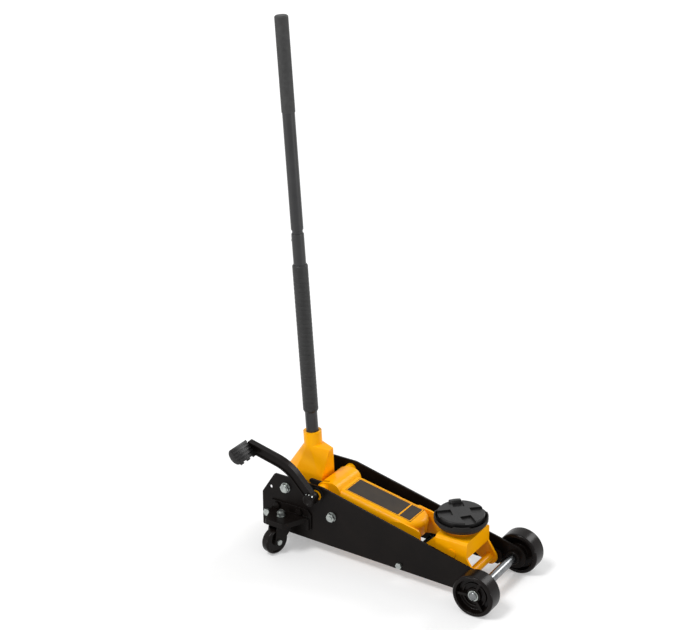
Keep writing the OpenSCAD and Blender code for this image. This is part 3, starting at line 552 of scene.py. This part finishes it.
@dataclass(frozen=True)
class WeldBead:
    """A weld bead laid in a ring.

    Attributes:
        radius: Radius of the ring, in millimetres.
        size: Radius of the bead's section, in millimetres.
        ripples: Ripples along the bead.
        ripple_height: Height of a ripple, as a share of the section.
        unevenness: Height of the slow waves in the bead, as a share of the section.
        waves: Slow waves round the ring.
        section_steps: Steps round the section.
        ring_steps: Steps round the ring.
        crease: Edges sharper than this, in degrees, stay crisp.
    """

    radius: float
    size: float
    ripples: int
    ripple_height: float = 0.16
    unevenness: float = 0.06
    waves: float = 7.0
    section_steps: int = 10
    ring_steps: int = 144
    crease: float = 80.0

    def mesh(self) -> bmesh.types.BMesh:
        """Builds the bead round Z.

        Returns:
            A closed mesh.
        """
        bm = bmesh.new()
        ring = bmesh.ops.create_circle(bm, segments=self.section_steps, radius=self.size * MM)["verts"]
        bmesh.ops.rotate(bm, verts=ring, cent=(0, 0, 0), matrix=Matrix.Rotation(math.pi / 2, 3, "X"))
        bmesh.ops.translate(bm, verts=ring, vec=(self.radius * MM, 0, 0))
        spin_round(bm, self.ring_steps)
        for vert in bm.verts:
            turn = math.atan2(vert.co.y, vert.co.x)
            ripple = self.ripple_height * math.sin(self.ripples * turn)
            wave = self.unevenness * math.sin(self.waves * turn + 1.0)
            core = Vector((math.cos(turn), math.sin(turn), 0.0)) * self.radius * MM
            vert.co = core + (vert.co - core) * (1.0 + ripple + wave)
        return bm


@dataclass
class Chassis:
    """Side plates, brackets, bolts and the hydraulic unit that stands between the plates.

    Attributes:
        shop: The workshop that makes the pieces.
        plate_edge: Rounding of the side plates' cut edges, in metres.
        pressed_edge: Rounding of the pressed brackets' edges, in metres.
        bolt_edge: Rounding of bolts and nuts, in metres.
        turned_edge: Rounding of turned and rolled parts, in metres.
        cast_edge: Rounding of the pump casting, in metres.
        ring_bead: The weld round each trunnion ring.
    """

    shop: Workshop
    plate_edge: float = 0.7 * MM
    pressed_edge: float = 2.0 * MM
    bolt_edge: float = 0.5 * MM
    turned_edge: float = 0.25 * MM
    cast_edge: float = 1.6 * MM
    ring_bead: WeldBead = WeldBead(18.4, 1.1, 46)

    def build(self) -> None:
        """Makes and dresses the chassis."""
        shop = self.shop
        for side in Side:
            shop.round_off(f"side_plate_{side.word}", self.plate_edge)
            shop.round_off(f"caster_bracket_{side.word}", self.pressed_edge, segments=4)
        for node in ("frame_bolts", "link_bolts", "socket_pivot_bolt", "bracket_screws", "caster_nuts"):
            shop.round_off(node, self.bolt_edge)
        for node in ("pivot_rings", "axle_collars", "front_axle", "rear_crossbar", "socket_spacers",
                     "wheel_spacers", "caster_races", "ram_gland", "ram_cylinder", "axle_clips"):
            shop.round_off(node, self.turned_edge)
        shop.round_off("pump_block", self.cast_edge, segments=3)
        shop.round_off("base_tray", self.pressed_edge)
        self._ring_welds()

    def _ring_welds(self) -> None:
        """Lays a bead round each trunnion ring where it meets the plate."""
        pivot = self.shop.middle("pivot_rings")
        for side in Side:
            face = side.outermost(f"side_plate_{side.word}")
            weld = self.ring_bead.mesh()
            weld.transform(placed(Vector((pivot.x, face, pivot.z)), Vector((0, side.value, 0))))
            self.shop.piece(f"ring_weld_{side.word}", weld, "chassis", Slot.BLACK,
                            angle=self.ring_bead.crease)


@dataclass
class FrontWheels:
    """The two moulded front wheels.

    Attributes:
        shop: The workshop that makes the pieces.
        moulded_edge: Rounding of the moulded ribs, in metres.
    """

    shop: Workshop
    moulded_edge: float = 0.8 * MM

    def build(self) -> None:
        """Makes and dresses both wheels."""
        for side in Side:
            self.shop.round_off(f"front_wheel_{side.word}", self.moulded_edge)


@dataclass
class Casters:
    """Swivel forks and their wheels.

    Attributes:
        shop: The workshop that makes the pieces.
        fork_edge: Rounding of the stamped forks, in metres.
        wheel_edge: Rounding of the wheels, in metres.
        axle_edge: Rounding of the axle bolts, in metres.
    """

    shop: Workshop
    fork_edge: float = 0.8 * MM
    wheel_edge: float = 0.3 * MM
    axle_edge: float = 0.5 * MM

    def build(self) -> None:
        """Makes and dresses both casters."""
        for side in Side:
            self.shop.round_off(f"caster_fork_{side.word}", self.fork_edge)
            self.shop.round_off(f"caster_wheel_{side.word}", self.wheel_edge)
            self.shop.round_off(f"caster_axle_{side.word}", self.axle_edge)


@dataclass(frozen=True)
class Panel:
    """One sheet of the blank label.

    Attributes:
        name: The piece's name.
        rear: X of its rear edge, in metres.
        front: X of its front edge, in metres.
        half_width: Half its width across the arm, in metres.
        layers: Its thickness above the arm, in sheets.
        finish: Its finish.
    """

    name: str
    rear: float
    front: float
    half_width: float
    layers: int
    finish: Finish


@dataclass
class LiftLinkage:
    """Lifting arm, saddle head and the bars that keep it level.

    Attributes:
        shop: The workshop that makes the pieces.
        arm_edge: Rounding of the pressed arm, in metres.
        head_edge: Rounding of the saddle head, in metres.
        bar_edge: Rounding of the link bars, in metres.
        pin_edge: Rounding of the pins, in metres.
        ram_edge: Rounding of the ram's rod and crosshead, in metres.
        top_line: Rear and front point (x, z) of the arm's flat top, in metres.
        panels: The sheets of the blank label.
        sheet_t: Thickness of one sheet, in metres.
        sheet_corner: Radius of a sheet's corners, in metres.
        cheek_t: Thickness of the head's cheeks, in metres.
        bead_gap: Gap between the cross tube and the middle of its weld, in millimetres.
        bead_size: Radius of that weld's section, in millimetres.
        bead_ripples: Ripples along that weld.
    """

    shop: Workshop
    arm_edge: float = 1.2 * MM
    head_edge: float = 1.2 * MM
    bar_edge: float = 0.8 * MM
    pin_edge: float = 0.6 * MM
    ram_edge: float = 0.5 * MM
    top_line: tuple[tuple[float, float], tuple[float, float]] = ((-0.397, 0.1615), (-0.180, 0.1216))
    panels: tuple[Panel, ...] = (
        Panel("label_border", -0.3885, -0.2130, 0.0325, 1, BLACK),
        Panel("label_ground", -0.3875, -0.2140, 0.0315, 2, YELLOW),
        Panel("label_main", -0.3855, -0.2480, 0.0295, 3, LABEL),
        Panel("label_end", -0.2445, -0.2165, 0.0295, 3, LABEL),
    )
    sheet_t: float = 0.12 * MM
    sheet_corner: float = 2.0 * MM
    cheek_t: float = 6.2 * MM
    bead_gap: float = 0.2
    bead_size: float = 0.75
    bead_ripples: int = 34

    def build(self) -> None:
        """Makes and dresses the linkage."""
        shop = self.shop
        shop.round_off("lifting_arm", self.arm_edge, segments=3)
        shop.round_off("saddle_head", self.head_edge, segments=3)
        for node in ("link_bar_right", "link_bar_left"):
            shop.round_off(node, self.bar_edge)
        for node in ("head_pin", "cross_tube", "crank_pin"):
            shop.round_off(node, self.pin_edge)
        for node in ("ram_rod", "ram_crosshead"):
            shop.round_off(node, self.ram_edge)
        self._label()
        self._tube_welds()

    def _tube_welds(self) -> None:
        """Lays a bead round the cross tube's ends where they meet the head's cheeks."""
        low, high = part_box("cross_tube")
        middle = (low + high) / 2
        radius = (high.x - low.x) / 2 / MM
        bead = WeldBead(radius + self.bead_gap, self.bead_size, self.bead_ripples)
        for side in Side:
            face = side.outermost("saddle_head") - side.value * self.cheek_t
            weld = bead.mesh()
            weld.transform(placed(Vector((middle.x, face, middle.z)), Vector((0, -side.value, 0))))
            self.shop.piece(f"tube_weld_{side.word}", weld, "head", Slot.YELLOW, angle=bead.crease)

    def _label(self) -> None:
        """Lays a blank label of two dark panels in a thin border on the arm's flat top."""
        rear, front = (Vector((x, 0.0, z)) for x, z in self.top_line)
        along = (front - rear).normalized()
        up = Vector((-along.z, 0.0, along.x))
        for panel in self.panels:
            start, end = (rear + along * ((x - rear.x) / along.x) for x in (panel.rear, panel.front))
            self._sheet(panel, start, end, up)

    def _sheet(self, panel: Panel, start: Vector, end: Vector, up: Vector) -> None:
        """Makes one sheet of the label, with rounded corners.

        Args:
            panel: The sheet.
            start: Middle of its rear edge, in metres.
            end: Middle of its front edge, in metres.
            up: The surface's normal.
        """
        bm = bmesh.new()
        along = end - start
        bmesh.ops.create_grid(bm, x_segments=1, y_segments=1, size=0.5)
        bmesh.ops.scale(bm, vec=(along.length, 2 * panel.half_width, 1.0), verts=bm.verts)
        bmesh.ops.bevel(bm, geom=bm.verts[:], offset=self.sheet_corner, segments=5, profile=0.5,
                        affect="VERTICES", material=-1, offset_type="OFFSET")
        grown = bmesh.ops.extrude_face_region(bm, geom=bm.faces[:])
        bmesh.ops.translate(bm, vec=(0, 0, self.sheet_t * panel.layers), verts=made_verts(grown))
        bmesh.ops.recalc_face_normals(bm, faces=bm.faces)
        along.normalize()
        frame = Matrix((along, up.cross(along), up)).transposed().to_4x4()
        frame.translation = (start + end) / 2
        bm.transform(frame)
        self.shop.piece(panel.name, bm, "arm", Slot.YELLOW, panel.finish)


@dataclass
class Saddle:
    """Castellated cup and its moulded pad.

    Attributes:
        shop: The workshop that makes the pieces.
        cup_edge: Rounding of the cup's tabs, in metres.
        pad_edge: Rounding of the pad's pockets, in metres.
    """

    shop: Workshop
    cup_edge: float = 1.2 * MM
    pad_edge: float = 0.9 * MM

    def build(self) -> None:
        """Makes and dresses the saddle."""
        self.shop.round_off("saddle_cup", self.cup_edge, segments=3)
        self.shop.round_off("saddle_pad", self.pad_edge, segments=3)


@dataclass
class HandleSocket:
    """Cast socket with its pump roller, and the pump under it.

    Attributes:
        shop: The workshop that makes the pieces.
        cast_edge: Rounding of the casting, in metres.
        facet_angle: Smallest angle between the casting's facets that is rounded, in degrees.
        turned_edge: Rounding of the turned parts, in metres.
    """

    shop: Workshop
    cast_edge: float = 2.2 * MM
    facet_angle: float = 14.0
    turned_edge: float = 0.4 * MM

    def build(self) -> None:
        """Makes and dresses the socket and the pump."""
        self.shop.round_off("handle_socket", self.cast_edge, segments=3, angle=self.facet_angle)
        for node in ("pump_roller", "roller_pin", "pump_plunger", "release_valve", "foot_plunger"):
            self.shop.round_off(node, self.turned_edge)
        self._spring("pump_spring")
        self._spring("foot_spring")

    def _spring(self, node: str) -> None:
        """Dresses a return spring in a copy with a mesh of its own; nothing here shortens it as its plunger
        goes down.

        Args:
            node: The spring's CAD node.
        """
        spring = self.shop.round_off(node, 0.0)
        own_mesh(spring)


@dataclass
class PumpHandle:
    """Two-piece handle with its sleeve, grip and lock button.

    Attributes:
        shop: The workshop that makes the pieces.
        tube_edge: Rounding of the tubes' ends, in metres.
        grip_edge: Rounding of the grip's ends, in metres.
        sleeve_edge: Rounding of the sleeve's ends, in metres.
    """

    shop: Workshop
    tube_edge: float = 0.3 * MM
    grip_edge: float = 0.8 * MM
    sleeve_edge: float = 0.4 * MM

    def build(self) -> None:
        """Makes and dresses the handle."""
        for node in ("lower_tube", "upper_tube", "lock_button"):
            self.shop.round_off(node, self.tube_edge)
        self.shop.round_off("handle_grip", self.grip_edge, finish=GRIP)
        self.shop.round_off("handle_sleeve", self.sleeve_edge, finish=SLEEVE)


@dataclass
class PedalTread:
    """Moulded rubber tread of the pedal: a round back, a grooved flat face and three teeth.

    Attributes:
        shop: The workshop that makes the pieces.
        at: Middle of the flat face (x, z), in millimetres.
        tilt: Turn of the tread about Y, in degrees.
        chord: Width of the flat face, in millimetres.
        depth: Depth of the round back, in millimetres.
        back_steps: Steps round the back.
        grooves: Middle of each groove across the flat face, in millimetres.
        groove: Width, depth and draft of a groove, in millimetres.
        rim_edge: Rounding of the long edges, in metres.
        tooth: Size of a tooth, in millimetres.
        teeth: Where the teeth stand along the tread, in millimetres.
        tooth_sink: How far the teeth's middles are below the flat face, in millimetres.
        tooth_edge: Rounding of the teeth, in metres.
    """

    shop: Workshop
    at: tuple[float, float] = (-601.0, 247.0)
    tilt: float = 43.0
    chord: float = 40.0
    depth: float = 15.0
    back_steps: int = 28
    grooves: tuple[float, ...] = (-13.0, -5.0, 3.0, 11.0)
    groove: tuple[float, float, float] = (3.2, 1.6, 0.5)
    rim_edge: float = 0.45 * MM
    tooth: tuple[float, float, float] = (7.0, 11.0, 5.0)
    teeth: tuple[float, ...] = (9.5, 33.5, 57.5)
    tooth_sink: float = 2.6
    tooth_edge: float = 1.1 * MM

    def build(self) -> None:
        """Moulds the tread in place of the plain one."""
        low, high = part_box("pedal_tread")
        bm = bmesh.new()
        end = bm.faces.new([bm.verts.new((x * MM, low.y, z * MM)) for x, z in self._section()])
        grown = bmesh.ops.extrude_face_region(bm, geom=[end], use_keep_orig=True)
        bmesh.ops.translate(bm, vec=(0.0, high.y - low.y, 0.0), verts=made_verts(grown))
        rims = [e for e in bm.edges if abs(e.verts[0].co.y - e.verts[1].co.y) < 1e-6]
        self._round(bm, rims, self.rim_edge, 2)
        for along in self.teeth:
            self._tooth(bm, low.y + along * MM)
        bmesh.ops.recalc_face_normals(bm, faces=bm.faces)
        at = Vector((self.at[0] * MM, 0.0, self.at[1] * MM))
        bm.transform(Matrix.Translation(at) @ Matrix.Rotation(math.radians(self.tilt), 4, "Y"))
        tread = self.shop.piece("pedal_tread_dressed", bm, "pedal", Slot.RUBBER)
        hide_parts("pedal_tread")

    def _section(self) -> list[tuple[float, float]]:
        """Draws the tread's section, with the flat face along X.

        Returns:
            The outline's points (x, z), in millimetres.
        """
        half = self.chord / 2
        width, depth, draft = self.groove
        face = [(-half, 0.0)]
        for at in self.grooves:
            face += [(at - width / 2, 0.0), (at - width / 2 + draft, -depth),
                     (at + width / 2 - draft, -depth), (at + width / 2, 0.0)]
        face.append((half, 0.0))
        turns = (math.pi * i / self.back_steps for i in range(1, self.back_steps))
        return face + [(half * math.cos(t), -self.depth * math.sin(t)) for t in turns]

    def _tooth(self, bm: bmesh.types.BMesh, y: float) -> None:
        """Adds a tooth at the lower edge of the flat face.

        Args:
            bm: The tread's mesh.
            y: Middle of the tooth, in metres.
        """
        cube = bmesh.ops.create_cube(bm, size=1.0)["verts"]
        bmesh.ops.scale(bm, vec=[side * MM for side in self.tooth], verts=cube)
        bmesh.ops.translate(bm, vec=(self.chord / 2 * MM, y, -self.tooth_sink * MM), verts=cube)
        self._round(bm, list({e for v in cube for e in v.link_edges}), self.tooth_edge, 3)

    @staticmethod
    def _round(bm: bmesh.types.BMesh, edges: list[bmesh.types.BMEdge], width: float, segments: int) -> None:
        """Rounds edges of a mesh.

        Args:
            bm: The mesh.
            edges: The edges.
            width: Width of the rounding, in metres.
            segments: Steps across the rounding.
        """
        bmesh.ops.bevel(bm, geom=edges, offset=width, segments=segments, profile=0.5, affect="EDGES",
                        material=-1)


@dataclass
class FootPedal:
    """Quick-lift pedal with its lever and the cap on its hub.

    Attributes:
        shop: The workshop that makes the pieces.
        arm_edge: Rounding of the pedal arm's flanges, in metres.
        turned_edge: Rounding of the shaft and its lever, in metres.
        cap_radius: Radius of the hub's end cap, in millimetres.
        cap_length: Length of the cap, in millimetres.
        cap_profile: Points of the cap's outer end: their distance in from its radius and down from
            its face, in millimetres.
        cap_seat: How far the cap reaches into the hub, in millimetres.
        cap_crease: Edges of the cap sharper than this, in degrees, stay crisp.
        cap_steps: Steps round the cap.
        screw_profile: Radius and height of each point of a screw's head, in millimetres.
        screw_angles: Where the screws sit round the cap, in degrees.
        screw_out: How far out from the hub they sit, in millimetres.
        screw_steps: Steps round a screw's head.
    """

    shop: Workshop
    arm_edge: float = 1.3 * MM
    turned_edge: float = 0.4 * MM
    cap_radius: float = 14.4
    cap_length: float = 9.0
    cap_profile: tuple[tuple[float, float], ...] = ((0.0, 2.2), (0.7, 0.7), (2.2, 0.0), (5.0, 0.0),
                                                    (5.6, 0.5))
    cap_seat: float = 1.0
    cap_crease: float = 50.0
    cap_steps: int = 72
    screw_profile: tuple[tuple[float, float], ...] = ((0.0, -2.0), (2.1, -2.0), (2.1, 0.7), (1.6, 1.2),
                                                      (0.9, 1.2), (0.9, 0.3), (0.0, 0.3))
    screw_angles: tuple[float, ...] = (52.0, 84.0, 118.0)
    screw_out: float = 4.0
    screw_steps: int = 24

    def build(self) -> None:
        """Makes and dresses the pedal."""
        self.shop.round_off("pedal_arm", self.arm_edge)
        for node in ("pedal_shaft", "pump_lever"):
            self.shop.round_off(node, self.turned_edge)
        PedalTread(self.shop).build()
        shaft = self.shop.middle("pedal_shaft")
        hub = Vector((shaft.x, Side.RIGHT.outermost("pedal_arm"), shaft.z))
        self._cap(hub)
        self._screws(hub)

    def _cap(self, hub: Vector) -> None:
        """Closes the hub with a turned cap.

        Args:
            hub: Middle of the hub's outer face, in metres.
        """
        end = [(self.cap_radius - inset, self.cap_length - drop) for inset, drop in self.cap_profile]
        seat = [(0.0, -self.cap_seat), (self.cap_radius, -self.cap_seat)]
        cap = lathe([*seat, *end, (0.0, end[-1][1])], self.cap_steps)
        cap.transform(placed(hub, Vector((0.0, Side.RIGHT.value, 0.0))))
        self.shop.piece("pedal_hub_cap", cap, "pedal", Slot.BLACK, angle=self.cap_crease)

    def _screws(self, hub: Vector) -> None:
        """Sets the small screws round the cap.

        Args:
            hub: Middle of the hub's outer face, in metres.
        """
        screws = bmesh.new()
        middle = hub + Vector((0.0, Side.RIGHT.value * self.screw_out * MM, 0.0))
        for angle in map(math.radians, self.screw_angles):
            away = Vector((math.cos(angle), 0.0, math.sin(angle)))
            head = lathe(self.screw_profile, self.screw_steps)
            head.transform(placed(middle + away * self.cap_radius * MM, away))
            absorb(screws, head)
        made = self.shop.piece("pedal_hub_screws", screws, "pedal", Slot.ZINC)
        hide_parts("pedal_screws")


@dataclass(frozen=True)
class Light:
    """A distant soft light, which falls evenly on the jack and the floor.

    Attributes:
        name: Its name.
        towards: Direction from the jack towards the light.
        spread: How wide it looks from the jack, in degrees.
        strength: Its strength, in watts per square metre.
    """

    name: str
    towards: tuple[float, float, float]
    spread: float
    strength: float


LIGHTS = (
    Light("key", (-0.6, -1.5, 2.6), 16.0, 1.45),
    Light("back", (1.1, 2.8, 2.2), 20.0, 0.75),
    Light("low_left", (-0.46, -0.88, 0.05), 16.0, 0.85),
    Light("low_right", (1.0, 0.05, 0.05), 12.0, 0.7),
)


@dataclass
class Studio:
    """Floor, background, lights and camera.

    Attributes:
        camera_at: Where the camera stands, in metres.
        azimuth: Turn of the camera round the jack from its right side, in degrees.
        elevation: How far the camera looks down, in degrees.
        roll: Turn of the camera about its own axis, in degrees.
        lens: Focal length, in millimetres.
        sensor: Width of the sensor, in millimetres.
        sky: Strength of the surround as light.
        floor_size: Half the floor's width, in metres.
        floor_drop: How far the floor lies below the wheels, in metres.
        floor_colour: The floor's own linear colour.
        floor_seen: How much the floor is brightened where it is only looked at.
    """

    camera_at: tuple[float, float, float] = (1.48055, -2.99782, 2.07382)
    azimuth: float = 32.41
    elevation: float = 22.80
    roll: float = -0.11
    lens: float = 90.48706
    sensor: float = 36.0
    sky: float = 0.55
    floor_size: float = 20.0
    floor_drop: float = 0.0002
    floor_colour: tuple[float, float, float] = (0.7, 0.7, 0.7)
    floor_seen: float = 0.33

    def build(self) -> None:
        """Makes everything in the scene that isn't the jack."""
        scene = bpy.context.scene
        scene.view_settings.view_transform = "Standard"
        scene.view_settings.look = "None"
        self._world(scene)
        self._floor()
        for light in LIGHTS:
            self._light(light)
        scene.camera = self._camera()

    @staticmethod
    def _seen(tree: bpy.types.NodeTree, least: float, most: float) -> bpy.types.NodeSocket:
        """Makes a strength that is higher for rays that only look at a surface.

        Args:
            tree: The node tree of a world or a material.
            least: The strength for rays that light the jack.
            most: The strength for camera, reflected and refracted rays.

        Returns:
            The socket with the strength.
        """
        path = tree.nodes.new("ShaderNodeLightPath")
        rays = path.outputs["Is Camera Ray"]
        for kind in ("Is Glossy Ray", "Is Transmission Ray"):
            either = tree.nodes.new("ShaderNodeMath")
            either.operation = "MAXIMUM"
            tree.links.new(rays, either.inputs[0])
            tree.links.new(path.outputs[kind], either.inputs[1])
            rays = either.outputs["Value"]
        level = tree.nodes.new("ShaderNodeMapRange")
        level.inputs["To Min"].default_value = least
        level.inputs["To Max"].default_value = most
        tree.links.new(rays, level.inputs["Value"])
        return level.outputs["Result"]

    def _world(self, scene: bpy.types.Scene) -> None:
        """Makes an even surround, which lights the jack softly and is seen as white.

        Args:
            scene: The scene.
        """
        world = bpy.data.worlds.new("surround")
        world.use_nodes = True
        tree = world.node_tree
        back = tree.nodes["Background"]
        back.inputs["Color"].default_value = (1.0, 1.0, 1.0, 1.0)
        tree.links.new(self._seen(tree, self.sky, 1.0), back.inputs["Strength"])
        scene.world = world

    def _floor(self) -> None:
        """Makes a plain pale floor, seen as white where nothing shades it."""
        mesh = bpy.data.meshes.new("floor")
        bm = bmesh.new()
        bmesh.ops.create_grid(bm, x_segments=1, y_segments=1, size=self.floor_size)
        bm.to_mesh(mesh)
        bm.free()
        floor = bpy.data.objects.new("floor", mesh)
        bpy.context.collection.objects.link(floor)
        floor.location.z = -self.floor_drop
        mat = bpy.data.materials.new("pale floor")
        mat.use_nodes = True
        tree = mat.node_tree
        shader = tree.nodes["Principled BSDF"]
        shader.inputs["Base Color"].default_value = (*self.floor_colour, 1.0)
        shader.inputs["Roughness"].default_value = 0.9
        shader.inputs["Specular IOR Level"].default_value = 0.1
        shader.inputs["Emission Color"].default_value = (1.0, 1.0, 1.0, 1.0)
        tree.links.new(self._seen(tree, 0.0, self.floor_seen), shader.inputs["Emission Strength"])
        mesh.materials.append(mat)

    @staticmethod
    def _light(light: Light) -> None:
        """Hangs one distant light.

        Args:
            light: The light.
        """
        data = bpy.data.lights.new(light.name, "SUN")
        data.energy = light.strength
        data.angle = math.radians(light.spread)
        obj = bpy.data.objects.new(light.name, data)
        obj.location = Vector(light.towards)
        obj.rotation_euler = Vector(light.towards).to_track_quat("Z", "Y").to_euler()
        bpy.context.collection.objects.link(obj)

    def _camera(self) -> bpy.types.Object:
        """Sets up the camera, which looks down on the jack from its right front.

        Returns:
            The camera.
        """
        data = bpy.data.cameras.new("camera")
        data.sensor_fit = "HORIZONTAL"
        data.sensor_width = self.sensor
        data.lens = self.lens
        data.clip_start = 0.05
        data.clip_end = 60.0
        az, el, roll = map(math.radians, (self.azimuth, self.elevation, self.roll))
        back = Vector((math.sin(az) * math.cos(el), -math.cos(az) * math.cos(el), math.sin(el)))
        right = Vector((math.cos(az), math.sin(az), 0.0))
        up = back.cross(right)
        turned = math.cos(roll) * right + math.sin(roll) * up
        up = -math.sin(roll) * right + math.cos(roll) * up
        pose = Matrix((turned, up, back)).transposed().to_4x4()
        pose.translation = Vector(self.camera_at)
        obj = bpy.data.objects.new("camera", data)
        obj.matrix_world = pose
        bpy.context.collection.objects.link(obj)
        return obj


def main() -> None:
    """Builds the whole scene."""
    logging.basicConfig(level=logging.INFO, format="%(name)s: %(message)s")
    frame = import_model()
    Studio().build()
    shop = Workshop(frame, ShaderLibrary())
    shop.finish_nodes()
    for assembly in (Chassis, FrontWheels, Casters, LiftLinkage, Saddle, HandleSocket, PumpHandle, FootPedal):
        LOG.info("building %s", assembly.__name__)
        assembly(shop).build()


if __name__ == "__main__":
    main()
